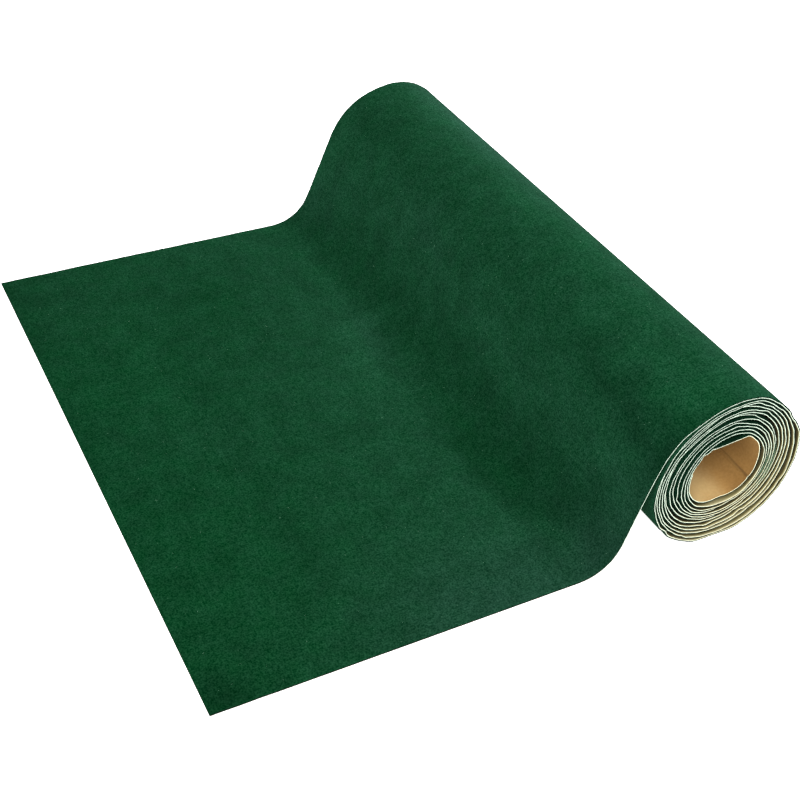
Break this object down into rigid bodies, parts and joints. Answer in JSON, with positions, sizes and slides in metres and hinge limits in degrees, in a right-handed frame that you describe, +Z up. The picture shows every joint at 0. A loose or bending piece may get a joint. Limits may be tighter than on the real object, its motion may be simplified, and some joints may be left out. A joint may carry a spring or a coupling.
{
  "type": "roll of velvet fabric",
  "caption": "Roll of paper-backed velvet, wound pile side out round an open bore, its loose end coming down from the top of the roll and lying flat.",
  "frame": {"origin": "middle of the footprint's box, on the surface that the roll and its loose end rest on", "axes": "+Z up; +Y along the roll, from one selvedge to the other; +X from the cut edge of the loose end towards the roll"},
  "size_m": [0.3446, 0.4, 0.0971],
  "materials": {
    "velvet_pile": "matt",
    "backing_paper": "matt"
  },
  "bodies": {
    "root": {"velvet_cloth": "velvet_pile"}
  },
  "joints": []
}
